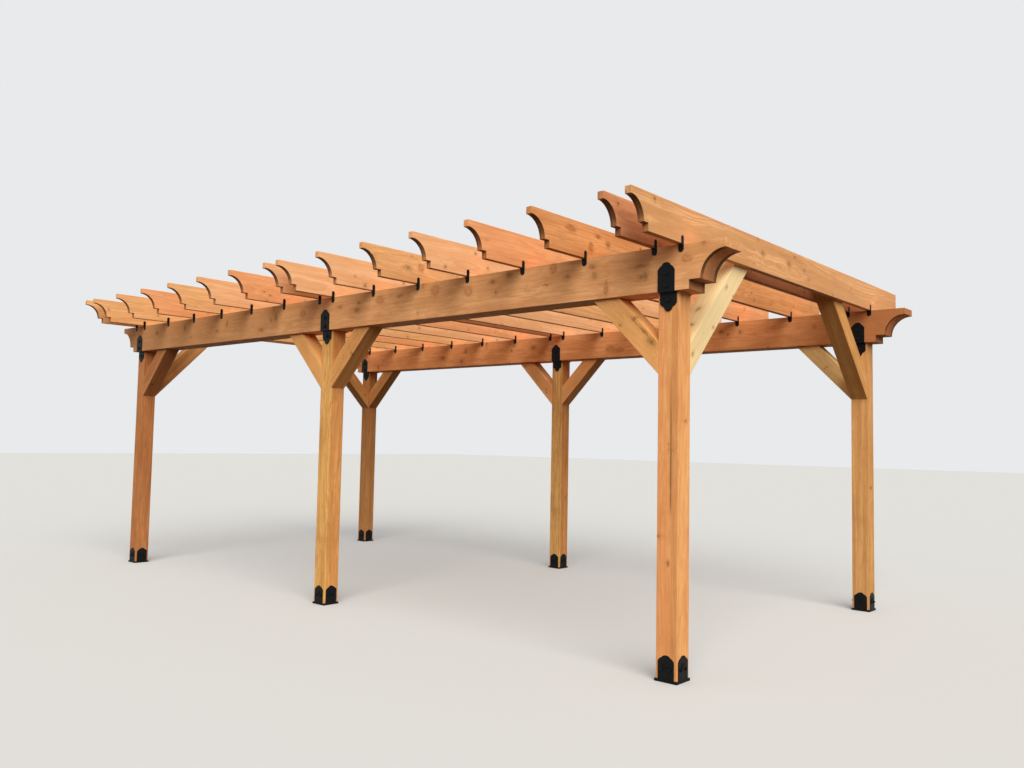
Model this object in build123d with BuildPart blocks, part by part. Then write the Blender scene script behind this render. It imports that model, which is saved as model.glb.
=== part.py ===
import os

from build123d import *

# sizes of the whole frame, from post centre to post centre where they span posts
bay_length = 3500
row_spacing = 3310
beam_underside = 2410
beam_end_reach = 410
rafter_front_reach = 685
rafter_back_reach = 585
rafters_per_bay = 5

# timber sections
post_width = 146
beam_width = 205
beam_height = 288
rafter_width = 46
rafter_height = 236
brace_width = post_width
brace_depth = post_width

# shaped ends of beams and rafters: a nose, a hollow quarter round and a notch
beam_nose_height = 56
beam_notch_height = 59
beam_notch_reach = 158
rafter_nose_height = 48
rafter_notch_height = 50
rafter_notch_reach = 500

# knee braces
brace_reach = 515
brace_side_clearance = 0.3
cross_brace_top_drop = 50

# post bases
plate_margin = 7
plate_thickness = 16
strap_thickness = 5
strap_width = 112
strap_shoulder = 128
strap_neck = 152
strap_tip = 164
strap_crown_width = 52
boss_height = 100
boss_radius = 18
boss_length = 6
nut_radius = 10
nut_length = 15
base_nut_spacing = 58
base_nut_height = 80

# ties between post and beam
tie_width = 120
tie_thickness = 6
tie_crown_width = 58
tie_upper_shoulder = 137
tie_upper_neck = 168
tie_upper_tip = 185
tie_lower_shoulder = 70
tie_lower_neck = 94
tie_lower_tip = 122
tie_nut_radius = 13
tie_nut_length = 15
tie_upper_nuts = (34, 112)
tie_lower_nut = 52

# rafter clips
clip_leg = 50
clip_beam_width = 38
clip_rafter_width = 26
clip_thickness = 4

# levels and lines that follow from the sizes above
beam_top = beam_underside + beam_height
rafter_top = beam_top + rafter_height
row_front = (rafter_front_reach - rafter_back_reach - row_spacing) / 2
row_back = row_front + row_spacing
rows = {"front": row_front, "back": row_back}
columns = {"left": -bay_length, "middle": 0, "right": bay_length}
pair_offset = brace_width / 2 + brace_side_clearance + rafter_width / 2
cut_length = brace_depth * 2**0.5

# rafter lines: a pair at each column and an even spread between the pairs
rafter_lines = []
for column_x in columns.values():
    rafter_lines += [column_x - pair_offset, column_x + pair_offset]
for bay_start in (-bay_length, 0):
    step = (bay_length - 2 * pair_offset) / (rafters_per_bay + 1)
    for count in range(1, rafters_per_bay + 1):
        rafter_lines.append(bay_start + pair_offset + step * count)
rafter_lines.sort()

os.makedirs("parts", exist_ok=True)


# outline of a beam or rafter end as points and one hollow quarter round
def shaped_end(root, tip, notch, bottom, top, nose_height, notch_height):
    nose_level = top - nose_height
    notch_level = bottom + notch_height
    cove = nose_level - notch_level
    inward = 1 if root > tip else -1
    heel = tip + inward * cove
    bulge = cove * 0.5**0.5
    Polyline((root, top), (tip, top), (tip, nose_level))
    ThreePointArc(
        (tip, nose_level),
        (tip + inward * bulge, notch_level + bulge),
        (heel, notch_level),
    )
    Polyline((heel, notch_level), (notch, notch_level), (notch, bottom), (root, bottom))


# outline of a strap: square root, sloping shoulders and a round crown
def strap_outline(width, crown_width, root, shoulder, neck, tip):
    half = width / 2
    crown = crown_width / 2
    Polyline(
        (-crown, neck),
        (-half, shoulder),
        (-half, root),
        (half, root),
        (half, shoulder),
        (crown, neck),
    )
    ThreePointArc((crown, neck), (0, tip), (-crown, neck))


# plane on a vertical face at a distance from a point, its own y axis pointing up
def face_plane(x, y, normal, distance):
    nx, ny = normal
    return Plane(
        origin=(x + nx * distance, y + ny * distance, 0),
        x_dir=(-ny, nx, 0),
        z_dir=(nx, ny, 0),
    )


# posts
for row, y in rows.items():
    for column, x in columns.items():
        with BuildPart() as post:
            with BuildSketch(Plane.XY.offset(plate_thickness)):
                with Locations((x, y)):
                    Rectangle(post_width, post_width)
            extrude(amount=beam_underside - plate_thickness)
        post.part.label = f"post_{row}_{column}"
        export_step(post.part, f"parts/{post.part.label}.step")

# beams
for row, y in rows.items():
    with BuildPart() as beam:
        with BuildSketch(Plane.XZ.offset(-y)):
            with BuildLine():
                shaped_end(
                    0,
                    bay_length + beam_end_reach,
                    bay_length + beam_notch_reach,
                    beam_underside,
                    beam_top,
                    beam_nose_height,
                    beam_notch_height,
                )
                Line((0, beam_underside), (0, beam_top))
            make_face()
            mirror(about=Plane.YZ)
        extrude(amount=beam_width / 2, both=True)
    beam.part.label = f"beam_{row}"
    export_step(beam.part, f"parts/{beam.part.label}.step")

# rafters: shaped at the front, square at the back
rafter_back = row_back + rafter_back_reach
for number, x in enumerate(rafter_lines, start=1):
    with BuildPart() as rafter:
        with BuildSketch(Plane.YZ.offset(x)):
            with BuildLine():
                shaped_end(
                    rafter_back,
                    row_front - rafter_front_reach,
                    row_front - rafter_notch_reach,
                    beam_top,
                    rafter_top,
                    rafter_nose_height,
                    rafter_notch_height,
                )
                Line((rafter_back, beam_top), (rafter_back, rafter_top))
            make_face()
        extrude(amount=rafter_width / 2, both=True)
    rafter.part.label = f"rafter_{number:02d}"
    export_step(rafter.part, f"parts/{rafter.part.label}.step")

# knee braces along the beams
brace_foot = beam_underside - brace_reach
long_braces = [("left", "right"), ("middle", "left"), ("middle", "right"), ("right", "left")]
for row, y in rows.items():
    for column, hand in long_braces:
        side = 1 if hand == "right" else -1
        face = columns[column] + side * post_width / 2
        with BuildPart() as brace:
            with BuildSketch(Plane.XZ.offset(-y)):
                with BuildLine():
                    Polyline(
                        (face, brace_foot),
                        (face + side * brace_reach, beam_underside),
                        (face + side * (brace_reach - cut_length), beam_underside),
                        (face, brace_foot + cut_length),
                        close=True,
                    )
                make_face()
            extrude(amount=brace_width / 2, both=True)
        brace.part.label = f"brace_{row}_{column}_{hand}"
        export_step(brace.part, f"parts/{brace.part.label}.step")

# cross braces from the corner posts up between the paired rafters
cross_top = rafter_top - cross_brace_top_drop
cross_rise = cross_top - brace_foot
for row, y in rows.items():
    inward = 1 if row == "front" else -1
    face = y + inward * post_width / 2
    for column in ("left", "right"):
        with BuildPart() as cross:
            with BuildSketch(Plane.YZ.offset(columns[column])):
                with BuildLine():
                    Polyline(
                        (face, brace_foot),
                        (face + inward * cross_rise, cross_top),
                        (face + inward * (cross_rise - cut_length), cross_top),
                        (face, brace_foot + cut_length),
                        close=True,
                    )
                make_face()
            extrude(amount=brace_width / 2, both=True)
        cross.part.label = f"cross_brace_{row}_{column}"
        export_step(cross.part, f"parts/{cross.part.label}.step")

# post bases: a foot plate, and on each face a strap with a boss and two nuts
for row, y in rows.items():
    for column, x in columns.items():
        with BuildPart() as base:
            with BuildSketch(Plane.XY):
                with Locations((x, y)):
                    Rectangle(post_width + 2 * plate_margin, post_width + 2 * plate_margin)
            extrude(amount=plate_thickness)
            for normal in ((1, 0), (-1, 0), (0, 1), (0, -1)):
                strap_plane = face_plane(x, y, normal, post_width / 2)
                with BuildSketch(strap_plane):
                    with BuildLine():
                        strap_outline(
                            strap_width,
                            strap_crown_width,
                            plate_thickness,
                            strap_shoulder,
                            strap_neck,
                            strap_tip,
                        )
                    make_face()
                extrude(amount=strap_thickness)
                with BuildSketch(strap_plane.offset(strap_thickness)):
                    with Locations((0, boss_height)):
                        Circle(boss_radius)
                extrude(amount=boss_length)
                with BuildSketch(strap_plane.offset(strap_thickness)):
                    with Locations((0, base_nut_height)):
                        with GridLocations(base_nut_spacing, 0, 2, 1):
                            RegularPolygon(nut_radius, 6)
                extrude(amount=nut_length)
        base.part.label = f"post_base_{row}_{column}"
        export_step(base.part, f"parts/{base.part.label}.step")

# ties: on each side a strap up the beam face, a step under the beam and a strap down the post
tie_step = (beam_width - post_width) / 2 + tie_thickness
with BuildPart() as ties:
    for y in rows.values():
        for x in columns.values():
            for side in (-1, 1):
                step_y = y + side * (post_width + tie_step) / 2
                with BuildSketch(Plane.XY.offset(beam_underside - tie_thickness)):
                    with Locations((x, step_y)):
                        Rectangle(tie_width, tie_step)
                extrude(amount=tie_thickness)
                beam_plane = face_plane(x, y, (0, side), beam_width / 2)
                with BuildSketch(beam_plane):
                    with BuildLine():
                        strap_outline(
                            tie_width,
                            tie_crown_width,
                            beam_underside - tie_thickness,
                            beam_underside + tie_upper_shoulder,
                            beam_underside + tie_upper_neck,
                            beam_underside + tie_upper_tip,
                        )
                    make_face()
                extrude(amount=tie_thickness)
                with BuildSketch(beam_plane.offset(tie_thickness)):
                    for height in tie_upper_nuts:
                        with Locations((0, beam_underside + height)):
                            RegularPolygon(tie_nut_radius, 6)
                extrude(amount=tie_nut_length)
                post_plane = face_plane(x, y, (0, side), post_width / 2)
                with BuildSketch(post_plane):
                    with BuildLine():
                        strap_outline(
                            tie_width,
                            tie_crown_width,
                            beam_underside,
                            beam_underside - tie_lower_shoulder,
                            beam_underside - tie_lower_neck,
                            beam_underside - tie_lower_tip,
                        )
                    make_face()
                extrude(amount=tie_thickness)
                with BuildSketch(post_plane.offset(tie_thickness)):
                    with Locations((0, beam_underside - tie_lower_nut)):
                        RegularPolygon(tie_nut_radius, 6)
                extrude(amount=tie_nut_length)
ties.part.label = "post_ties"
export_step(ties.part, "parts/post_ties.step")


# one leg of a rafter clip: straight from the joint at the beam's top, round at its end
def clip_leg_outline(centre, width, up):
    straight = clip_leg - width / 2
    with Locations((centre, beam_top + up * straight / 2)):
        Rectangle(width, straight)
    with Locations((centre, beam_top + up * straight)):
        Circle(width / 2)


# rafter clips: one leg on the beam face, one on the side of the rafter
with BuildPart() as clips:
    for y in rows.values():
        beam_face = y - beam_width / 2
        for rafter_x in rafter_lines:
            side_x = rafter_x + rafter_width / 2
            with BuildSketch(Plane.XZ.offset(-beam_face)):
                clip_leg_outline(side_x + clip_thickness - clip_beam_width / 2, clip_beam_width, -1)
            extrude(amount=clip_thickness)
            with BuildSketch(Plane.YZ.offset(side_x)):
                clip_leg_outline(beam_face - clip_rafter_width / 2, clip_rafter_width, 1)
            extrude(amount=clip_thickness)
clips.part.label = "rafter_clips"
export_step(clips.part, "parts/rafter_clips.step")
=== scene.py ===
# open wooden pergola: wood for every timber, and detailed black steel for the plain hardware
import math
import random

import bmesh
import bpy
from mathutils import Matrix, Vector


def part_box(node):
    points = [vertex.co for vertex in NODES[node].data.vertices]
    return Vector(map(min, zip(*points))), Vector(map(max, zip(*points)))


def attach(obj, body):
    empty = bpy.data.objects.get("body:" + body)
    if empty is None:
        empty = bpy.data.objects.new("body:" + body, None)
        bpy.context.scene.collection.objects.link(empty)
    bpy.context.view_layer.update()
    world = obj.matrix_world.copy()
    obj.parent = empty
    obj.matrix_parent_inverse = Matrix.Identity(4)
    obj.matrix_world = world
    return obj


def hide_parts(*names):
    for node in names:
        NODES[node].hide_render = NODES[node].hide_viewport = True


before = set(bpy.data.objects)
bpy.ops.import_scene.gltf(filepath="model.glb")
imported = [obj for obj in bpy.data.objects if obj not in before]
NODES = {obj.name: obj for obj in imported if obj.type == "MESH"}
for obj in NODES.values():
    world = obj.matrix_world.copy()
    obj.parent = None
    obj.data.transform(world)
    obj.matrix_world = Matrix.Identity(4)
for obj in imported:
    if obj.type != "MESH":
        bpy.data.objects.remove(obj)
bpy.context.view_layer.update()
X, Y, Z = range(3)


# places and half sizes from the frame, in metres, rounded to a tenth of a millimetre
def centre_of(node, axis):
    low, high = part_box(node)
    return round((low[axis] + high[axis]) / 2, 4)


def half_size(node, axis):
    low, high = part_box(node)
    return round((high[axis] - low[axis]) / 2, 4)


COLUMNS = {column: centre_of(f"post_front_{column}", X) for column in ("left", "middle", "right")}
ROWS = {row: centre_of(f"post_{row}_middle", Y) for row in ("front", "back")}
POST_HALF = half_size("post_front_middle", X)
BEAM_HALF = half_size("beam_front", Y)
BEAM_BOTTOM, BEAM_TOP = (round(corner[Z], 4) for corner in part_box("beam_front"))
RAFTER_HALF = half_size("rafter_01", X)

STEEL_NODES = ("post_base", "post_ties", "rafter_clips")
TIMBERS = [name for name in sorted(NODES) if not name.startswith(STEEL_NODES)]
RAFTERS = [name for name in TIMBERS if name.startswith("rafter_")]

# shaped ends: how far past the outer posts the notch starts, and how deep the nose is
BEAM_NOTCH = 0.160
BEAM_NOSE = 0.056
RAFTER_NOTCH = 0.499
RAFTER_NOSE = 0.048


class Graph:
    """Short calls that make shader nodes and return their output socket."""

    def __init__(self, owner, output):
        owner.use_nodes = True
        self.tree = owner.node_tree
        self.tree.nodes.clear()
        self.output = self.node(output)

    def node(self, kind, inputs=(), **settings):
        made = self.tree.nodes.new("ShaderNode" + kind)
        for key, value in settings.items():
            setattr(made, key, value)
        for key, value in dict(inputs).items():
            self.put(made.inputs[key], value)
        return made

    def put(self, socket, value):
        if isinstance(value, bpy.types.NodeSocket):
            self.tree.links.new(value, socket)
        else:
            socket.default_value = value

    def math(self, operation, *values):
        made = self.node("Math", operation=operation)
        for socket, value in zip(made.inputs, values):
            self.put(socket, value)
        return made.outputs[0]

    def product(self, *values):
        total = values[0]
        for value in values[1:]:
            total = self.math("MULTIPLY", total, value)
        return total

    def total(self, *values):
        total = values[0]
        for value in values[1:]:
            total = self.math("ADD", total, value)
        return total

    def length(self, a, b):
        return self.math("SQRT", self.total(self.product(a, a), self.product(b, b)))

    def swing(self, value, amount):
        """A noise value as a swing round zero, of half the amount each way."""
        return self.product(self.math("SUBTRACT", value, 0.5), amount)

    def decay(self, distance, rate):
        """1 at no distance, falling off smoothly."""
        return self.math("EXPONENT", self.product(distance, -rate))

    def vector(self, operation, *values):
        made = self.node("VectorMath", operation=operation)
        for socket, value in zip(made.inputs, values):
            self.put(socket, value)
        return made.outputs[0]

    def reach(self, vector):
        return self.node("VectorMath", {0: vector}, operation="LENGTH").outputs["Value"]

    def combine(self, x, y, z):
        return self.node("CombineXYZ", {"X": x, "Y": y, "Z": z}).outputs[0]

    def split(self, vector):
        return self.node("SeparateXYZ", {"Vector": vector}).outputs

    def noise(self, vector, scale, detail=2.0, roughness=0.5, output="Fac"):
        made = self.node(
            "TexNoise",
            {"Vector": vector, "Scale": scale, "Detail": detail, "Roughness": roughness},
        )
        return made.outputs[output]

    def cells(self, vector, feature="F1"):
        made = self.node(
            "TexVoronoi",
            {"Vector": vector, "Scale": 1.0, "Randomness": 0.9},
            voronoi_dimensions="2D",
            feature=feature,
        )
        return made.outputs

    def band(self, value, low, high, out_low=0.0, out_high=1.0, interpolation="SMOOTHSTEP"):
        """Goes from out_low to out_high while the value goes from low to high."""
        made = self.node(
            "MapRange",
            {
                "Value": value,
                "From Min": low,
                "From Max": high,
                "To Min": out_low,
                "To Max": out_high,
            },
            interpolation_type=interpolation,
        )
        return made.outputs[0]

    def mix(self, factor, a, b):
        made = self.node("Mix", data_type="RGBA", clamp_factor=True)
        self.put(made.inputs[0], factor)
        self.put(made.inputs[6], a)
        self.put(made.inputs[7], b)
        return made.outputs[2]

    def finish(self, shader):
        self.put(self.output.inputs["Surface"], shader.outputs[0])

    def surface(self, colour, roughness, height, specular, strength, distance):
        """A principled surface with relief."""
        bump = self.node("Bump", {"Height": height, "Strength": strength, "Distance": distance})
        inputs = {
            "Base Color": colour,
            "Roughness": roughness,
            "Specular IOR Level": specular,
            "Normal": bump.outputs[0],
        }
        self.finish(self.node("BsdfPrincipled", inputs))

    def finish_by_ray(self, given, seen):
        """One shader for the light that the object gets, another for what the camera sees,
        straight, by a reflection or through something clear."""
        path = self.node("LightPath").outputs
        direct = self.math("MAXIMUM", path["Is Camera Ray"], path["Is Glossy Ray"])
        direct = self.math("MAXIMUM", direct, path["Is Transmission Ray"])
        self.finish(self.node("MixShader", {0: direct, 1: given.outputs[0], 2: seen.outputs[0]}))


def new_material(name):
    material = bpy.data.materials.new(name)
    return material, Graph(material, "OutputMaterial")


def linear(red, green, blue):
    """Colour socket value for an 8-bit display colour."""
    out = []
    for channel in (red, green, blue):
        share = channel / 255
        out.append(share / 12.92 if share <= 0.04045 else ((share + 0.055) / 1.055) ** 2.4)
    return (*out, 1.0)


def scaled(colour, red, green, blue):
    return (colour[0] * red, colour[1] * green, colour[2] * blue, 1.0)


def shade(colour, factor):
    return scaled(colour, factor, factor, factor)


# timber colours as displayed; those named after a kind of timber are its usual colour
TONES = {
    "gold": (248, 173, 111),
    "honey": (225, 161, 95),
    "rafter": (255, 196, 144),
    "rafter_yellow": (238, 181, 124),
    "rafter_rust": (243, 172, 119),
    "rafter_tan": (220, 153, 97),
    "rafter_outer": (224, 168, 116),
    "beam": (244, 182, 126),
    "rust": (237, 164, 107),
    "tan": (217, 163, 102),
    "brown": (192, 129, 80),
    "umber": (199, 141, 85),
    "middle": (214, 148, 88),
    "brace": (222, 162, 99),
    "brace_pale": (255, 192, 121),
    "brace_light": (255, 217, 148),
    "brace_rust": (255, 188, 122),
    "straw": (210, 155, 92),
    "dark_rust": (220, 155, 110),
    "cream": (255, 224, 166),
}

# timbers with another colour than the usual one of their kind
CHOSEN_TONE = {
    "post_front_right": "gold",
    "post_front_middle": "honey",
    "post_front_left": "brown",
    "post_back_left": "umber",
    "post_back_middle": "middle",
    "post_back_right": "tan",
    "beam_back": "rust",
    "rafter_01": "rafter_yellow",
    "rafter_02": "rafter_yellow",
    "rafter_03": "rafter_yellow",
    "rafter_04": "rafter_rust",
    "rafter_05": "rafter_yellow",
    "rafter_07": "rafter_rust",
    "rafter_11": "rafter_yellow",
    "rafter_13": "rafter_rust",
    "rafter_14": "rafter_tan",
    "rafter_15": "dark_rust",
    "rafter_16": "rafter_outer",
    "brace_front_right_left": "brace_pale",
    "brace_front_middle_left": "brace_pale",
    "brace_front_left_right": "brown",
    "brace_back_middle_left": "brace_rust",
    "brace_back_middle_right": "brace_rust",
    "brace_back_right_left": "brace_light",
    "cross_brace_front_right": "cream",
    "cross_brace_back_right": "straw",
}


def timber_tones(tone, warm):
    """Early wood, late wood and streak colours round a mean colour."""
    mean = shade(linear(*tone), warm)
    lift = min(1.20, 0.98 / mean[0])
    early = scaled(mean, lift, lift * 1.03, lift * 1.06)
    late = scaled(mean, 0.83, 0.72, 0.61)
    lift = min(1.02, 0.90 / mean[0])
    streak = scaled(mean, lift, lift * 0.92, lift * 0.85)
    return early, late, streak


# what the wood of a piece shows, and how strongly; places are on the axes that Wood sets
USUAL_LOOK = {
    "ring": 0.5,  # growth rings
    "streaks": 0.5,  # streaks of late wood
    "plain": 1.0,  # share that is left of streaks and fibres
    "blotch": 0.5,  # broad stains
    "mottle": 0.3,  # small stains
    "knots": (),  # knots at chosen places
    "eyes": (),  # the same, dark only round a pale middle
    "knot_depth": 1.0,  # darkness of the knots
    "spike": 1.0,  # below 1, some grown knots are drawn out across the grain
    "sapwood_and_lit_face": None,  # paler wood, real on some pieces and painted light on the front face of some posts: by radius or across, inner, outer, brightness
    "end_shade": None,  # painted shade, darker towards one end: start, end, strength
    "top_shade": None,  # strength of painted shade on the upper part, under an overhang
    "vein": None,  # dark line on one face: across, depth, half width, low end, high end
    "shaped": None,  # sawn ends: half width, start, level of the nose, whether both
    "rim": (0.56, 0.70, 0.15),  # darker edges of a sawn end, weakened low in the hollow so that its top carries painted shade: inner, outer, brightness
    "low_hollow": 1.0,  # brightness of the lower part of a sawn end
    "checks": False,  # short drying checks
}

# looks of each kind; grown knots: cells a metre, cells a radian, share in use, largest radius
KIND_LOOKS = {
    "rafter": {
        "grown_knots": (2.2, 2.4, 0.5, 0.014),
        "ring": 0.6,
        "blotch": 0.28,
        "mottle": 0.16,
        "plain": 0.9,
        "shaped": (
            RAFTER_HALF,
            RAFTER_NOTCH - ROWS["front"],
            half_size("rafter_01", Z) - RAFTER_NOSE,
            False,
        ),
        "rim": (-0.3, 0.25, 0.26),
    },
    "beam": {
        "grown_knots": (2.4, 1.4, 0.3, 0.024),
        "mottle": 0.32,
        "streaks": 0.75,
        "spike": 0.45,
        "checks": True,
        "shaped": (
            BEAM_HALF,
            COLUMNS["right"] + BEAM_NOTCH,
            half_size("beam_front", Z) - BEAM_NOSE,
            True,
        ),
        "low_hollow": 0.45,
    },
    "post": {
        "grown_knots": (1.3, 1.3, 0.4, 0.012),
        "streaks": 0.65,
        "spike": 0.45,
        "checks": True,
    },
    "brace": {
        "grown_knots": (2.2, 1.8, 0.6, 0.014),
    },
}

# how far a chosen knot runs into the wood
KNOT_RUN = 0.03


def in_side(face, *rows):
    """Knots in a side of a piece, from rows of (along, height, half length, half height)."""
    return [(along, face, depth, length, KNOT_RUN, height) for along, depth, length, height in rows]


def in_top(face, *rows):
    """Knots in the upper face, from rows of (along, across, half length, half width)."""
    return [(along, across, face, length, width, KNOT_RUN) for along, across, length, width in rows]


# looks of single pieces, over those of their kind
CHOSEN_LOOKS = {
    "post_front_right": {
        "vein": (-POST_HALF, -0.020, 0.0065, -0.25, 0.80),
        "sapwood_and_lit_face": ("radius", 0.165, 0.185, 1.06),
        "knots": in_side(-POST_HALF, (-0.49, -0.008, 0.016, 0.010)),
    },
    # on these two posts the paler wood lightens the front face: painted light
    "post_front_middle": {"sapwood_and_lit_face": ("across", -0.045, -0.065, 1.2)},
    "post_back_middle": {"sapwood_and_lit_face": ("across", -0.045, -0.065, 1.5)},
    "beam_front": {
        "knots": in_side(
            -BEAM_HALF,
            (3.305, 0.040, 0.045, 0.013),
            (3.325, -0.035, 0.030, 0.020),
            (2.925, 0.080, 0.033, 0.021),
            (2.715, 0.035, 0.023, 0.017),
            (2.530, 0.000, 0.020, 0.007),
            (2.180, 0.110, 0.040, 0.026),
            (2.020, 0.075, 0.030, 0.017),
            (1.185, 0.100, 0.028, 0.020),
            (0.990, 0.070, 0.025, 0.013),
            (0.465, 0.060, 0.024, 0.014),
            (0.440, 0.000, 0.046, 0.026),
            (0.205, 0.045, 0.037, 0.016),
            (-0.770, 0.035, 0.030, 0.043),
            (-1.015, -0.070, 0.050, 0.020),
            (-1.820, -0.025, 0.040, 0.021),
            (-2.480, 0.055, 0.034, 0.049),
            (-3.100, 0.040, 0.037, 0.034),
            (-2.345, -0.055, 0.038, 0.013),
        ),
        "eyes": in_side(
            -BEAM_HALF,
            (3.645, 0.050, 0.028, 0.019),
            (2.590, 0.110, 0.021, 0.028),
            (3.040, -0.075, 0.013, 0.033),
            (1.765, 0.030, 0.032, 0.026),
            (1.405, 0.075, 0.034, 0.027),
            (0.740, 0.060, 0.036, 0.024),
            (-0.340, 0.030, 0.031, 0.022),
        ),
        # painted shade on the upper part of the beam and towards its left end
        "top_shade": 0.30,
        "end_shade": (0.9, -2.6, 0.60),
        "knot_depth": 0.75,
    },
    "beam_back": {
        "knots": in_side(
            -BEAM_HALF,
            (2.140, 0.050, 0.033, 0.021),
            (2.340, 0.035, 0.019, 0.015),
            (-0.350, 0.030, 0.045, 0.022),
            (-1.900, -0.020, 0.050, 0.024),
            (-1.550, -0.080, 0.040, 0.026),
        ),
        "eyes": in_side(
            -BEAM_HALF,
            (0.780, -0.050, 0.047, 0.023),
            (0.900, -0.065, 0.040, 0.018),
        ),
        # painted shade towards the right end of the beam
        "end_shade": (2.5, 3.4, 0.85),
        "knot_depth": 0.85,
    },
    "rafter_11": {
        "knots": in_side(-RAFTER_HALF, (-1.835, -0.010, 0.030, 0.018)),
        "eyes": in_side(-RAFTER_HALF, (-1.695, 0.015, 0.022, 0.021)),
        "knot_depth": 0.6,
    },
    "rafter_12": {
        "knots": in_side(
            -RAFTER_HALF,
            (-1.640, 0.070, 0.012, 0.008),
            (-1.500, -0.020, 0.011, 0.008),
        ),
    },
    "rafter_13": {"ring": 0.9},
    "rafter_14": {
        "knots": in_side(
            -RAFTER_HALF,
            (-1.455, 0.020, 0.022, 0.017),
            (-1.575, 0.055, 0.026, 0.010),
        ),
        "eyes": in_side(
            -RAFTER_HALF,
            (-1.880, 0.055, 0.035, 0.018),
            (-1.655, -0.030, 0.018, 0.021),
        ),
        "knot_depth": 0.8,
    },
    "rafter_16": {
        "knots": in_side(
            -RAFTER_HALF,
            (-0.595, 0.020, 0.024, 0.016),
            (-0.045, 0.080, 0.024, 0.013),
            (-0.150, 0.015, 0.022, 0.020),
            (0.125, 0.010, 0.022, 0.010),
        ),
        "knot_depth": 0.7,
        "ring": 0.95,
    },
    "cross_brace_front_right": {
        "knots": [
            *in_top(
                2 * POST_HALF,
                (-0.195, 0.015, 0.026, 0.019),
                (-0.365, 0.000, 0.017, 0.021),
            ),
            *in_side(
                -POST_HALF,
                (-0.580, 0.075, 0.020, 0.013),
                (0.085, 0.105, 0.018, 0.011),
            ),
        ],
        "ring": 0.12,
        "blotch": 0.06,
        "mottle": 0.05,
        "plain": 0.22,
    },
    "brace_front_right_left": {
        "knots": in_side(
            -POST_HALF,
            (0.180, 0.110, 0.044, 0.026),
            (0.095, 0.120, 0.060, 0.010),
            (-0.010, 0.120, 0.050, 0.006),
        ),
        "blotch": 0.3,
        "mottle": 0.15,
    },
}


# sizes in all the wood, in metres or in counts a metre
SEED_SHIFT = 3.7
PITH_WANDER = 0.14
RINGS = 80.0
RING_WOBBLE = 0.03
FIBRES = 380.0
SAW_MARKS = 240.0
KNOT_RIPPLE = 0.022
KNOT_SHAKE = 0.03
KNOT_SWELL = 0.03


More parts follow.
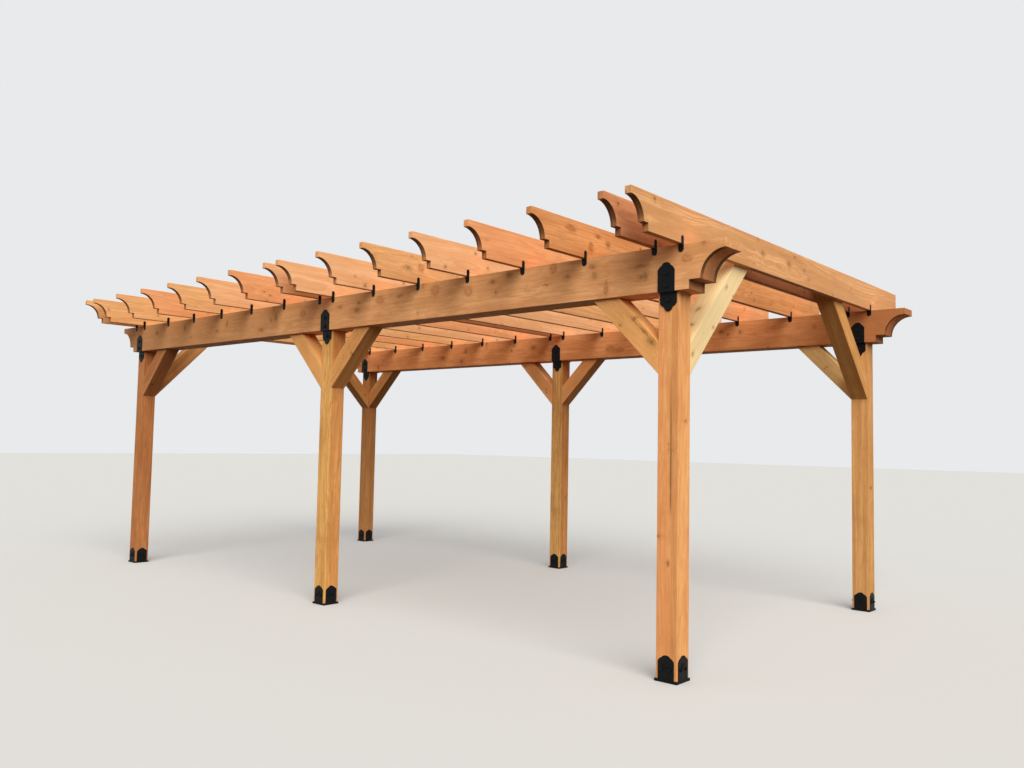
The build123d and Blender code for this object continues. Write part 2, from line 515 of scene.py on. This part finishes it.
class Wood:
    """The solid wood of one piece, on axes along its grain, across it and up through its depth,
    all from its middle. Rings run round a pith in or beside the piece, knots run out from it."""

    def __init__(self, name, turn, pith, seed, tones, look):
        self.material, self.g = new_material("timber_" + name)
        self.seed = seed
        self.early, self.late, self.streak = tones
        self.look = look
        low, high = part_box(name)
        self.set_axes((low + high) / 2, turn, pith)
        self.grow_knots()
        self.place_knots()
        self.grow_rings()
        self.lay_fibres()
        self.colour_grain()
        self.paint_shade()
        self.colour_knots()
        if look["vein"]:
            self.draw_vein()
        self.colour_end_grain()
        if look["shaped"]:
            self.saw_ends(*look["shaped"])
        self.check = 0.0
        if look["checks"]:
            self.open_checks()
        self.finish()

    def tint(self, factor, colour):
        self.body = self.g.mix(factor, self.body, colour)

    def darken(self, factor, share):
        """Mixes in the late wood's colour at a share of its brightness."""
        self.tint(factor, shade(self.late, share))

    def stretched(self, lengthwise, sideways):
        """Places in the piece for a noise, scaled along the grain and across it."""
        g = self.g
        across = g.product(self.across, sideways)
        return g.combine(g.product(self.shifted, lengthwise), across, g.product(self.depth, sideways))

    def stretched_round_pith(self, lengthwise, sideways):
        """The same from the pith, so that the noise follows its wander."""
        g = self.g
        side = g.product(self.side, sideways)
        return g.combine(g.product(self.shifted, lengthwise), side, g.product(self.deep, sideways))

    def set_axes(self, centre, turn, pith):
        """Axes of the piece, and places round a pith that wanders a little on its way."""
        g = self.g
        place = g.node("TexCoord").outputs
        from_centre = g.vector("SUBTRACT", place["Object"], centre)
        self.local = g.node("Mapping", {"Vector": from_centre, "Rotation": turn}).outputs[0]
        self.along, self.across, self.depth = g.split(self.local)
        normal = g.node("Mapping", {"Vector": place["Normal"], "Rotation": turn}).outputs[0]
        self.facing, self.sideways, _ = g.split(normal)
        self.shifted = g.total(self.along, self.seed * SEED_SHIFT)
        drift = g.combine(g.product(self.shifted, 0.6), self.seed * 1.31, 0.0)
        self.wander = g.split(g.noise(drift, 1.0, 1.0, output="Color"))
        self.side = g.total(self.across, g.swing(self.wander[0], PITH_WANDER), -pith[0])
        self.deep = g.total(self.depth, g.swing(self.wander[1], PITH_WANDER), -pith[1])
        self.radius = g.length(self.side, self.deep)

    def grow_knots(self):
        """Knots in cells along the piece and round the pith, some of them empty."""
        g = self.g
        per_metre, per_radian, share, largest = self.look["grown_knots"]
        angle = g.math("ARCTAN2", self.side, self.deep)
        cell = g.combine(g.product(self.shifted, per_metre), g.product(angle, per_radian), 0.0)
        spots = g.cells(cell)
        border = g.cells(cell, "DISTANCE_TO_EDGE")["Distance"]
        whole = g.band(border, 0.0, 0.15)
        gap = g.split(g.vector("SUBTRACT", cell, spots["Position"]))
        run = g.math("DIVIDE", gap[0], per_metre)
        arc = g.product(g.math("DIVIDE", gap[1], per_radian), self.radius)
        luck = g.node("SeparateColor", {"Color": spots["Color"]}).outputs
        size = g.band(luck[0], 1.0 - share, 1.0, 0.0, largest, "LINEAR")
        safe_size = g.math("MAXIMUM", size, 0.0005)
        ripple = g.swing(g.noise(self.local, 38.0, 3.0, 0.6), KNOT_RIPPLE)
        spike = g.product(arc, g.band(luck[2], 0.2, 0.9, 1.0, self.look["spike"]))
        near = g.math("DIVIDE", g.total(g.length(run, spike), ripple), safe_size)
        present = g.product(g.band(size, 0.0015, 0.004), whole)
        self.knot = g.product(g.band(near, 1.3, 0.4), present)
        self.core = g.product(g.band(near, 0.5, 0.1), present, g.band(luck[1], 0.4, 0.6))
        self.halo = g.product(g.band(near, 3.6, 0.6), present)
        eye = g.math("DIVIDE", g.length(g.math("DIVIDE", run, 2.6), arc), safe_size)
        self.swell = g.product(g.decay(eye, 0.7), size, 1.4, whole)

    def place_knots(self):
        """Knots at the chosen places, with ragged outlines."""
        g = self.g
        if not (self.look["knots"] or self.look["eyes"]):
            return
        rough = g.noise(self.local, 34.0, 3.0, output="Color")
        shaken = g.vector("SUBTRACT", rough, (0.5,) * 3)
        shaken = g.vector("MULTIPLY", shaken, (KNOT_SHAKE,) * 3)
        shaken = g.vector("ADD", self.local, shaken)
        if self.look["knots"]:
            near = self.nearest(shaken, self.look["knots"])
            self.knot = g.math("MAXIMUM", self.knot, g.band(near, 1.3, 0.4))
            self.core = g.math("MAXIMUM", self.core, g.product(g.band(near, 0.5, 0.1), 0.7))
        if self.look["eyes"]:
            near = self.nearest(shaken, self.look["eyes"])
            ragged = g.band(g.noise(self.local, 60.0, 2.0), 0.36, 0.58, 0.25, 1.0)
            self.eyes = g.product(g.band(near, 1.7, 1.0), g.band(near, 0.3, 1.0, 0.3, 1.0), ragged)
            middle_spot = g.product(g.band(near, 0.35, 0.1), ragged, 0.5)
            self.core = g.math("MAXIMUM", self.core, middle_spot)

    def nearest(self, place, knots):
        """Distance to the nearest chosen knot, in its own radii. The grain swells round them."""
        g = self.g
        near = None
        for *spot, r_along, r_across, r_depth in knots:
            off = g.vector("SUBTRACT", place, tuple(spot))
            off = g.reach(g.vector("MULTIPLY", off, (1 / r_along, 1 / r_across, 1 / r_depth)))
            near = off if near is None else g.math("MINIMUM", near, off)
        self.swell = g.math("MAXIMUM", self.swell, g.product(g.decay(near, 0.6), KNOT_SWELL))
        self.halo = g.math("MAXIMUM", self.halo, g.band(near, 2.6, 0.8))
        return near

    def grow_rings(self):
        """Growth rings, wider and narrower by turns, with some that stand out."""
        g = self.g
        self.wobble = g.swing(g.noise(self.local, 3.0, 3.0), RING_WOBBLE)
        ring_at = g.total(self.radius, self.wobble, self.swell)
        spread = g.noise(g.combine(g.product(ring_at, 24.0), self.seed, 0.0), 1.0, 2.0)
        phase = g.total(g.product(ring_at, RINGS), g.product(spread, 6.0))
        year = g.math("FRACT", phase)
        self.late_wood = g.product(g.band(year, 0.4, 0.9), g.band(year, 1.0, 0.93))
        strong = g.noise(g.combine(g.math("FLOOR", phase), self.seed * 5.0, 0.0), 1.0, 1.0)
        self.rings = g.product(self.late_wood, g.band(strong, 0.35, 0.68, 0.3, 1.0))

    def lay_fibres(self):
        """Streaks along the grain at three widths, and stains at two."""
        g = self.g
        side = g.total(g.product(self.side, 30.0), g.product(self.swell, 26.0))
        self.fibre = g.combine(g.product(self.shifted, 0.55), side, g.product(self.deep, 30.0))
        self.broad = g.noise(self.fibre, 0.8, 2.0, 0.55)
        self.middle = g.noise(self.fibre, 3.0, 2.0, 0.6)
        self.fine = g.noise(self.stretched_round_pith(12.0, FIBRES), 1.0, 2.0, 0.6)
        self.blotch = g.noise(self.stretched(2.2, 7.0), 1.0, 4.0, 0.6)
        self.mottle = g.noise(self.stretched(7.0, 26.0), 1.0, 3.0, 0.6)

    def colour_grain(self):
        """Wood without knots: streaks, paler wood (painted light on the front face of some posts),
        rings, fibres and stains.
        """
        g, look = self.g, self.look
        self.body = g.mix(g.band(self.broad, 0.34, 0.64), self.early, self.streak)
        # paler wood; on some posts it lightens the front face as painted light
        if look["sapwood_and_lit_face"]:
            source, inner, outer, lift = look["sapwood_and_lit_face"]
            source = g.total(self.radius if source == "radius" else self.across, self.wobble)
            red, green, blue, _ = scaled(self.early, lift, lift * 1.06, lift)
            self.tint(
                g.product(g.band(source, inner, outer), 0.75),
                (min(red, 0.95), min(green, 0.9), blue, 1.0),
            )
        streaks = look["streaks"] * look["plain"]
        self.tint(g.product(g.band(self.middle, 0.46, 0.64), streaks), self.late)
        self.darken(g.product(self.rings, look["ring"]), 0.92)
        self.darken(g.product(g.band(self.fine, 0.45, 0.7), 0.3 * look["plain"]), 0.82)
        self.darken(g.band(self.blotch, 0.46, 0.72, 0.0, look["blotch"]), 0.85)
        self.darken(g.band(self.mottle, 0.49, 0.66, 0.0, look["mottle"]), 0.8)

    def paint_shade(self):
        """Painted shade: a piece that darkens towards one end, or whose upper part is darker under an
        overhang.
        """
        g, look = self.g, self.look
        if look["end_shade"]:
            start, end, strength = look["end_shade"]
            # painted shade: darker towards one end
            end_shade = g.band(g.total(self.along, g.swing(self.blotch, 0.8)), start, end)
            self.darken(g.product(end_shade, strength), 0.55)
        if look["top_shade"]:
            # painted shade on the upper part, under the overhang above it
            upper = g.band(g.total(self.depth, self.wobble), -0.11, 0.08, 0.0, look["top_shade"])
            self.tint(upper, scaled(self.late, 0.86, 0.92, 0.9))

    def colour_knots(self):
        """Darker wood round a knot, the knot itself, its specks and its core."""
        g, look = self.g, self.look
        specks = g.band(g.noise(self.local, 110.0, 3.0, 0.7), 0.54, 0.66)
        self.darken(g.product(self.halo, 0.5), 0.78)
        self.darken(g.product(self.knot, 0.62 * look["knot_depth"]), 0.44)
        self.darken(g.product(self.knot, specks, 0.6), 0.2)
        self.darken(g.product(self.core, 0.65 * look["knot_depth"]), 0.12)
        if look["eyes"]:
            self.tint(g.product(self.eyes, 0.6), scaled(self.late, 0.62, 0.46, 0.42))

    def draw_vein(self):
        """A dark broken line along one face, with the wood on one side of it browner."""
        g = self.g
        line_across, line_depth, reach, low, high = self.look["vein"]
        bend = g.swing(self.wander[2], 0.03)
        ragged = g.swing(g.noise(self.fibre, 2.0, 3.0), 0.008)
        beside = g.total(self.depth, bend, ragged, -line_depth)
        off = g.length(g.total(self.across, -line_across), beside)
        run = g.product(g.band(self.along, low, low + 0.15), g.band(self.along, high, high - 0.5))
        self.darken(g.product(g.band(off, reach * 3.5, reach), run, 0.3), 0.6)
        on_face = g.band(self.across, line_across + 0.007, line_across + 0.001)
        self.darken(g.product(g.band(beside, 0.0, -0.006), on_face, 0.4), 0.72)
        gaps = g.noise(g.combine(g.product(self.along, 5.0), self.seed, 0.0), 1.0, 2.0)
        line = g.product(g.band(off, reach, reach * 0.5), run, g.band(gaps, 0.3, 0.5, 0.3, 0.7))
        self.darken(line, 0.25)

    def colour_end_grain(self):
        """Darker rings on the faces that the grain runs out of."""
        g = self.g
        self.end = g.band(g.math("ABSOLUTE", self.facing), 0.5, 0.95)
        self.darken(g.product(self.end, self.late_wood, 0.5), 0.7)

    def saw_ends(self, half, start, nose, both):
        """Shaped ends: the noses stay pale, the hollow and the notch are darker, with dark edges,
        darkest at the top of the hollow as painted shade.
        """
        g, look = self.g, self.look
        outwards = g.math("ABSOLUTE", self.along) if both else g.product(self.along, -1.0)
        off_sides = g.band(g.math("ABSOLUTE", self.sideways), 0.6, 0.3)
        below_nose = g.band(self.depth, nose, nose - 0.004)
        cut = g.product(off_sides, g.band(outwards, start - 0.01, start), below_nose)
        sawn = scaled(self.late, 1.3, 1.1, 1.1)
        low_sawn = shade(sawn, look["low_hollow"])
        sawn = g.mix(g.band(self.depth, -nose * 0.7, nose * 0.6), low_sawn, sawn)
        sawn = g.mix(g.product(self.late_wood, 0.6), sawn, shade(self.late, 0.6))
        self.tint(g.product(cut, 0.8), sawn)
        inner, outer, brightness = look["rim"]
        edge = g.total(g.math("ABSOLUTE", self.across), g.swing(self.blotch, half * 0.3))
        dark_edge = g.band(edge, half * inner, half * outer)
        # painted shade: the dark edges are full at the top of the hollow and weaker lower down
        shade_towards_top = g.band(self.depth, -nose, -nose * 0.2, 0.6, 1.0)
        self.darken(g.product(cut, dark_edge, shade_towards_top, 0.9), brightness)

    def open_checks(self):
        """Short drying checks, none of them in the end grain."""
        g = self.g
        crack = g.noise(self.stretched_round_pith(5.0, 60.0), 1.0, 1.0)
        crack = g.band(g.math("ABSOLUTE", g.math("SUBTRACT", crack, 0.5)), 0.012, 0.002)
        side = g.product(self.side, 14.0)
        rare = g.noise(g.combine(g.product(self.shifted, 3.1), side, self.seed), 1.0, 1.0)
        off_end = g.math("SUBTRACT", 1.0, self.end)
        self.check = g.product(crack, g.band(rare, 0.63, 0.7), off_end)
        self.darken(g.product(self.check, 0.45), 0.3)

    def finish(self):
        """Relief from late wood, fibres, saw marks, checks and knots, and the surface."""
        g = self.g
        across = g.product(self.across, 10.0)
        depth = g.product(self.depth, 10.0)
        saw_marks = g.noise(g.combine(g.product(self.along, SAW_MARKS), across, depth), 1.0, 1.0)
        height = g.total(
            g.product(self.rings, 0.35),
            g.product(self.fine, 0.6),
            g.product(saw_marks, 0.4),
            g.product(self.check, -2.0),
            g.product(self.core, -0.6),
        )
        roughness = g.band(self.fine, 0.2, 0.8, 0.62, 0.82)
        g.surface(self.body, roughness, height, specular=0.09, strength=0.55, distance=0.0012)


# directions of the grain, as turns of the axes
GRAIN_X = (0.0, 0.0, 0.0)
GRAIN_Y = (0.0, 0.0, -math.pi / 2)
GRAIN_Z = (0.0, math.pi / 2, 0.0)


def kind_of(name):
    return "brace" if "brace" in name else name.split("_")[0]


def grain_of(name):
    if name.startswith("cross_brace_"):
        slope = -1 if "front" in name else 1
        return (slope * math.pi / 4, 0.0, -math.pi / 2)
    if name.startswith("brace_"):
        return (0.0, math.pi / 4 if name.endswith("_right") else -math.pi / 4, 0.0)
    return {"post": GRAIN_Z, "beam": GRAIN_X, "rafter": GRAIN_Y}[kind_of(name)]


def draw_pith(chance, kind, hand, lean):
    """Place of the pith, across and in depth."""
    if kind == "rafter":
        return hand * chance.uniform(0.11, 0.17), lean * 0.06
    if kind == "beam":
        return hand * 0.02, -0.03 + lean * 0.03
    if kind == "post":
        return hand * chance.uniform(0.02, 0.09), 0.13
    return hand * chance.uniform(0.10, 0.15), chance.choice((-1, 1)) * 0.06


def ease_edges(obj, width):
    """Closes the seams of the imported mesh and rounds its edges."""
    weld = obj.modifiers.new("close_seams", "WELD")
    weld.merge_threshold = 0.0001
    flat = obj.modifiers.new("flat_faces", "DECIMATE")
    flat.decimate_type = "DISSOLVE"
    flat.angle_limit = math.radians(0.5)
    bevel = obj.modifiers.new("eased_edges", "BEVEL")
    bevel.width = width
    bevel.segments = 2
    bevel.limit_method = "ANGLE"
    bevel.angle_limit = math.radians(40)


# timbers
EASED_EDGE = 0.003
chance = random.Random(41)
for name in TIMBERS:
    kind = kind_of(name)
    seed = chance.uniform(0.0, 9.0)
    hand = chance.choice((-1, 1))
    lean = chance.uniform(-1.0, 1.0)
    pith = draw_pith(chance, kind, hand, lean)
    tones = timber_tones(TONES[CHOSEN_TONE.get(name, kind)], chance.uniform(0.94, 1.06))
    look = {**USUAL_LOOK, **KIND_LOOKS[kind], **CHOSEN_LOOKS.get(name, {})}
    wood = Wood(name, grain_of(name), pith, seed, tones, look)
    timber = NODES[name]
    timber.data.materials.clear()
    timber.data.materials.append(wood.material)
    ease_edges(timber, EASED_EDGE)


def steel_material():
    """Black powder coat with fine orange peel and a little dust."""
    material, g = new_material("powder_coat_black")
    place = g.node("TexCoord").outputs["Object"]
    peel = g.noise(place, 900.0, 2.0, 0.6)
    broad = g.noise(place, 14.0, 3.0, 0.6)
    dust = g.noise(place, 60.0, 4.0, 0.65)
    tone = g.mix(g.band(broad, 0.35, 0.7), linear(7, 9, 11), linear(13, 14, 16))
    tone = g.mix(g.band(dust, 0.6, 0.85, 0.0, 0.16), tone, linear(40, 37, 34))
    roughness = g.band(dust, 0.3, 0.75, 0.42, 0.62)
    g.surface(tone, roughness, peel, specular=0.15, strength=0.35, distance=0.0006)
    return material


STEEL = steel_material()


class Shells:
    """Collects closed shells, each placed by a matrix, into one mesh."""

    def __init__(self, name):
        self.name = name
        self.bm = bmesh.new()

    def add(self, verts, faces, matrix):
        made = [self.bm.verts.new(matrix @ Vector(v)) for v in verts]
        for face in faces:
            self.bm.faces.new([made[i] for i in face])

    def ribbon(self, stations, thickness, matrix):
        """A strip of plate: each station is (out, up, normal out, normal up, half width)."""
        verts, faces = [], []
        half = thickness / 2
        for out, up, normal_out, normal_up, width in stations:
            for hand, skin in ((-1, half), (1, half), (1, -half), (-1, -half)):
                verts.append((hand * width, out + skin * normal_out, up + skin * normal_up))
        for i in range(len(stations) - 1):
            a, b = 4 * i, 4 * i + 4
            for k in range(4):
                m = (k + 1) % 4
                faces.append((a + k, a + m, b + m, b + k))
        last = 4 * (len(stations) - 1)
        faces.append((0, 3, 2, 1))
        faces.append((last, last + 1, last + 2, last + 3))
        self.add(verts, faces, matrix)

    def turned(self, profile, count, matrix):
        """A closed lathe shape on the local z axis from (radius, height) pairs, centre to centre."""
        verts, faces, rings = [], [], []
        for radius, height in profile:
            ring = []
            for i in range(count if radius else 1):
                turn = 2 * math.pi * (i + 0.5) / count
                ring.append(len(verts))
                verts.append((radius * math.cos(turn), radius * math.sin(turn), height))
            rings.append(ring)
        for a, b in zip(rings, rings[1:]):
            for i in range(count):
                j = (i + 1) % count
                if len(a) == 1:
                    faces.append((a[0], b[i], b[j]))
                elif len(b) == 1:
                    faces.append((a[i], b[0], a[j]))
                else:
                    faces.append((a[i], b[i], b[j], a[j]))
        self.add(verts, faces, matrix)

    def block(self, low, high, matrix):
        (x0, y0, z0), (x1, y1, z1) = low, high
        verts = [(x, y, z) for z in (z0, z1) for x, y in ((x0, y0), (x1, y0), (x1, y1), (x0, y1))]
        faces = [(0, 3, 2, 1), (4, 5, 6, 7), (0, 1, 5, 4), (1, 2, 6, 5), (2, 3, 7, 6), (3, 0, 4, 7)]
        self.add(verts, faces, matrix)

    def finish(self, bevel, *nodes):
        """Makes the piece, in place of its plain nodes."""
        bmesh.ops.recalc_face_normals(self.bm, faces=self.bm.faces)
        mesh = bpy.data.meshes.new(self.name)
        self.bm.to_mesh(mesh)
        self.bm.free()
        obj = bpy.data.objects.new(self.name, mesh)
        mesh.materials.append(STEEL)
        bpy.context.scene.collection.objects.link(obj)
        edges = obj.modifiers.new("edges", "BEVEL")
        edges.width = bevel
        edges.segments = 2
        edges.limit_method = "ANGLE"
        edges.angle_limit = math.radians(50)
        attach(obj, "root")
        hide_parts(*nodes)


def facing_matrix(x, y, z, normal):
    """Local frame on a vertical face: x along the face, y out of it, z up."""
    nx, ny = normal
    turn = Matrix(((ny, nx, 0.0), (-nx, ny, 0.0), (0.0, 0.0, 1.0))).to_4x4()
    return Matrix.Translation((x, y, z)) @ turn


def out_of_face(matrix, across, out, up):
    """Turns a lathe's axis out of a face, at a place on it."""
    return matrix @ Matrix.Translation((across, out, up)) @ Matrix.Rotation(-math.pi / 2, 4, "X")


def quarter_round(steps, first=1):
    """Cosine and sine of even turns up to a right angle."""
    turns = [math.pi / 2 * i / steps for i in range(first, steps + 1)]
    return [(math.cos(turn), math.sin(turn)) for turn in turns]


# arched ends of straps
ARCH_STEPS = 9
ARCH_SWELL = 0.10
ARCH_SWELL_OUT = 0.6
ARCH_TIP_HALF = 0.0006


def ogee(half, shoulder, neck_half, neck, tip):
    """Arched end of a strap as (height, half width) pairs: swelling shoulders, a round crown."""
    points = []
    for i in range(ARCH_STEPS + 1):
        share = i / ARCH_STEPS
        swell = math.sin(math.pi * share) * (half - neck_half) * ARCH_SWELL
        width = half + (neck_half - half) * share + swell * ARCH_SWELL_OUT
        points.append((shoulder + (neck - shoulder) * share + swell, width))
    for cosine, sine in quarter_round(ARCH_STEPS):
        points.append((neck + (tip - neck) * sine, max(neck_half * cosine, ARCH_TIP_HALF)))
    return points


# outlines of a nut as (share of its radius, height); above the washer, heights are shares too
WASHER = ((0.0, 0.0), (1.3, 0.0), (1.3, 0.0018), (1.222, 0.0024), (0.0, 0.0024))
NUT_SEAT = 0.002
HEXAGON = ((0.0, 0.0), (1.0, 0.0), (1.0, 0.5), (0.88, 0.62), (0.0, 0.62))
CAP_RADIUS = 0.8
CAP_FOOT = 0.55
CAP_SPRING = 0.6
CAP_RISE = 0.38


def nut(shells, matrix, radius, length):
    """A washer, a hexagon and a domed cap on a face, out along the local z axis."""
    cap = [(0.0, CAP_FOOT), (CAP_RADIUS, CAP_FOOT)]
    cap += [(CAP_RADIUS * c, CAP_SPRING + CAP_RISE * s) for c, s in quarter_round(5)]
    cap[-1] = (0.0, cap[-1][1])
    shells.turned([(r * radius, h) for r, h in WASHER], 20, matrix)
    shells.turned([(r * radius, NUT_SEAT + h * length) for r, h in HEXAGON], 6, matrix)
    shells.turned([(r * radius, NUT_SEAT + h * length) for r, h in cap], 16, matrix)


# post bases: a foot plate, and on each face an arched strap with a dished boss and two nuts
STEEL_BEVEL = 0.0012
NUT_LENGTH = 0.013
PLATE_HALF = POST_HALF + 0.007
PLATE_THICK = 0.016
STRAP_THICK = 0.005
STRAP_HALF = 0.056
STRAP_ROOT = PLATE_THICK - 0.002
STRAP_STRAIGHT = 0.06
STRAP_ARCH = {"shoulder": 0.128, "neck_half": 0.026, "neck": 0.152, "tip": 0.164}
BOSS_UP = 0.100
BOSS = (
    (0.0, 0.0),
    (0.018, 0.0),
    (0.018, 0.0035),
    (0.0165, 0.005),
    (0.013, 0.005),
    (0.012, 0.003),
    (0.008, 0.003),
    (0.007, 0.0052),
    (0.0, 0.006),
)
BASE_NUT_UP = 0.080
BASE_NUT_ACROSS = 0.029
BASE_NUT_RADIUS = 0.010


def make_base(row, column):
    x, y = COLUMNS[column], ROWS[row]
    shells = Shells(f"anchor_base_{row}_{column}")
    low = (-PLATE_HALF, -PLATE_HALF, 0.0)
    high = (PLATE_HALF, PLATE_HALF, PLATE_THICK)
    shells.block(low, high, Matrix.Translation((x, y, 0.0)))
    outline = [(STRAP_ROOT, STRAP_HALF), (STRAP_STRAIGHT, STRAP_HALF)]
    outline += ogee(STRAP_HALF, **STRAP_ARCH)
    stations = [(STRAP_THICK / 2, up, 1.0, 0.0, width) for up, width in outline]
    for normal in ((1, 0), (-1, 0), (0, 1), (0, -1)):
        face = facing_matrix(x + normal[0] * POST_HALF, y + normal[1] * POST_HALF, 0.0, normal)
        shells.ribbon(stations, STRAP_THICK, face)
        shells.turned(BOSS, 28, out_of_face(face, 0.0, STRAP_THICK, BOSS_UP))
        for across in (-BASE_NUT_ACROSS, BASE_NUT_ACROSS):
            place = out_of_face(face, across, STRAP_THICK, BASE_NUT_UP)
            nut(shells, place, BASE_NUT_RADIUS, NUT_LENGTH)
    shells.finish(STEEL_BEVEL, f"post_base_{row}_{column}")


# ties between posts and beams: on each side one bent strap with three nuts
TIE_THICK = 0.006
TIE_HALF = 0.060
TIE_BEND = 0.005
TIE_STRAIGHT = 0.06
UPPER_ARCH = {"shoulder": 0.137, "neck_half": 0.029, "neck": 0.168, "tip": 0.185}
LOWER_ARCH = {"shoulder": 0.070, "neck_half": 0.029, "neck": 0.094, "tip": 0.122}
TIE_NUTS = ((BEAM_HALF, 0.034), (BEAM_HALF, 0.112), (POST_HALF, -0.052))
TIE_NUT_RADIUS = 0.013


def tie_stations():
    """Side view of a tie: down the beam's face, in under the beam and down the post's face."""
    outer = BEAM_HALF + TIE_THICK / 2
    inner = POST_HALF + TIE_THICK / 2
    step = -TIE_THICK / 2
    bends = quarter_round(4, first=0)
    upper = [(outer, up, 1.0, 0.0, width) for up, width in reversed(ogee(TIE_HALF, **UPPER_ARCH))]
    straight = [(outer, TIE_STRAIGHT, 1.0, 0.0, TIE_HALF)]
    inwards = [
        (outer - TIE_BEND + TIE_BEND * c, step + TIE_BEND - TIE_BEND * s, c, -s, TIE_HALF)
        for c, s in bends
    ]
    downwards = [
        (inner + TIE_BEND - TIE_BEND * s, step - TIE_BEND + TIE_BEND * c, s, -c, TIE_HALF)
        for c, s in bends
    ]
    lower = [(inner, -down, 1.0, 0.0, width) for down, width in ogee(TIE_HALF, **LOWER_ARCH)]
    return upper + straight + inwards + downwards + lower


def make_tie(row, column):
    shells = Shells(f"beam_tie_{row}_{column}")
    for side in (-1, 1):
        face = facing_matrix(COLUMNS[column], ROWS[row], BEAM_BOTTOM, (0, side))
        shells.ribbon(tie_stations(), TIE_THICK, face)
        for half, up in TIE_NUTS:
            nut(shells, out_of_face(face, 0.0, half + TIE_THICK, up), TIE_NUT_RADIUS, NUT_LENGTH)
    shells.finish(STEEL_BEVEL, "post_ties")


# rafter clips: a leg down the front of the beam, a wing up the side of the rafter
CLIP_BEVEL = 0.0006
CLIP_THICK = 0.004
CLIP_LENGTH = 0.050
CLIP_TIP_HALF = 0.0005
LEG_HALF = 0.019
LEG_ROOT = ((0.0, LEG_HALF), (0.01, LEG_HALF))
WING_HALF = 0.013
WING_ROOT = ((-0.012, WING_HALF - 0.003), (0.0, WING_HALF))
SCREW = ((0.0, 0.0), (0.0045, 0.0), (0.0038, 0.0017), (0.0, 0.0026))
SCREWS_UP = (0.015, 0.035)


def add_clip_arm(clips, face, up, root, half):
    """One arm of a clip, upwards or downwards from the top of the beam, with a round end."""
    straight = CLIP_LENGTH - half
    outline = [*root, (straight, half)]
    for cosine, sine in quarter_round(8):
        outline.append((straight + half * sine, max(half * cosine, CLIP_TIP_HALF)))
    stations = [(CLIP_THICK / 2, up * height, 1.0, 0.0, width) for height, width in outline]
    clips.ribbon(stations, CLIP_THICK, face)
    for height in SCREWS_UP:
        clips.turned(SCREW, 12, out_of_face(face, 0.0, CLIP_THICK, up * height))


def make_clips():
    clips = Shells("rafter_clip_set")
    for y in ROWS.values():
        beam_face = y - BEAM_HALF
        for rafter in RAFTERS:
            side_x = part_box(rafter)[1].x
            leg = facing_matrix(side_x + CLIP_THICK - LEG_HALF, beam_face, BEAM_TOP, (0, -1))
            wing = facing_matrix(side_x, beam_face - WING_HALF, BEAM_TOP, (1, 0))
            add_clip_arm(clips, leg, -1, LEG_ROOT, LEG_HALF)
            add_clip_arm(clips, wing, 1, WING_ROOT, WING_HALF)
    clips.finish(CLIP_BEVEL, "rafter_clips")


for make_piece in (make_base, make_tie):
    for row in ROWS:
        for column in COLUMNS:
            make_piece(row, column)
make_clips()

# studio: pale to the camera, while the object gets only a mid tone back from the floor
FLOOR_HALF = 60.0
DOME_STRENGTH = 0.52
SUN_STRENGTH = 3.4
SUN_SPREAD = 58
SUN_AHEAD = (-0.66, 0.55, -0.63)


def floor_material():
    material, g = new_material("pale_floor")
    bounce = g.node("BsdfDiffuse", {"Color": linear(62, 44, 30)})
    pale = g.node("BsdfDiffuse", {"Color": linear(214, 213, 210)})
    g.finish_by_ray(bounce, pale)
    return material


def add_floor():
    bm = bmesh.new()
    bmesh.ops.create_grid(bm, x_segments=1, y_segments=1, size=FLOOR_HALF)
    mesh = bpy.data.meshes.new("floor")
    bm.to_mesh(mesh)
    bm.free()
    floor = bpy.data.objects.new("floor", mesh)
    mesh.materials.append(floor_material())
    bpy.context.scene.collection.objects.link(floor)


def add_world():
    world = bpy.data.worlds.new("studio")
    bpy.context.scene.world = world
    g = Graph(world, "OutputWorld")
    dome = g.node("Background", {"Color": (0.95, 0.975, 1.0, 1.0), "Strength": DOME_STRENGTH})
    backdrop = g.node("Background", {"Color": linear(232, 234, 236), "Strength": 1.0})
    g.finish_by_ray(dome, backdrop)


def add_sun():
    lamp = bpy.data.lights.new("soft_sun", "SUN")
    lamp.energy = SUN_STRENGTH
    lamp.angle = math.radians(SUN_SPREAD)
    lamp.color = (1.0, 0.97, 0.92)
    sun = bpy.data.objects.new("soft_sun", lamp)
    sun.rotation_euler = Vector(SUN_AHEAD).to_track_quat("-Z", "Y").to_euler()
    bpy.context.scene.collection.objects.link(sun)


# camera: place in metres, angles in degrees, focal length and width of the picture in pixels
CAMERA_AT = (6.3666, -6.42, 1.4527)
CAMERA_YAW = 41.2892
CAMERA_PITCH = 3.7652
CAMERA_ROLL = 1.0947
FOCAL_PX = 874.79
PICTURE_WIDTH_PX = 1024
SENSOR_WIDTH_MM = 36.0


def add_camera():
    """Camera at the photograph's viewing angle."""
    yaw, pitch, roll = (math.radians(a) for a in (CAMERA_YAW, CAMERA_PITCH, CAMERA_ROLL))
    level_ahead = Vector((-math.sin(yaw), math.cos(yaw), 0.0))
    ahead = level_ahead * math.cos(pitch) + Vector((0.0, 0.0, math.sin(pitch)))
    level_right = Vector((math.cos(yaw), math.sin(yaw), 0.0))
    level_up = level_right.cross(ahead)
    right = level_right * math.cos(roll) + level_up * math.sin(roll)
    up = level_up * math.cos(roll) - level_right * math.sin(roll)
    lens = bpy.data.cameras.new("camera")
    lens.sensor_width = SENSOR_WIDTH_MM
    lens.lens = FOCAL_PX / PICTURE_WIDTH_PX * SENSOR_WIDTH_MM
    camera = bpy.data.objects.new("camera", lens)
    turn = Matrix((right, up, -ahead)).transposed().to_4x4()
    camera.matrix_world = Matrix.Translation(CAMERA_AT) @ turn
    bpy.context.scene.collection.objects.link(camera)
    bpy.context.scene.camera = camera


add_floor()
add_world()
add_sun()
add_camera()
bpy.context.scene.view_settings.view_transform = "Standard"
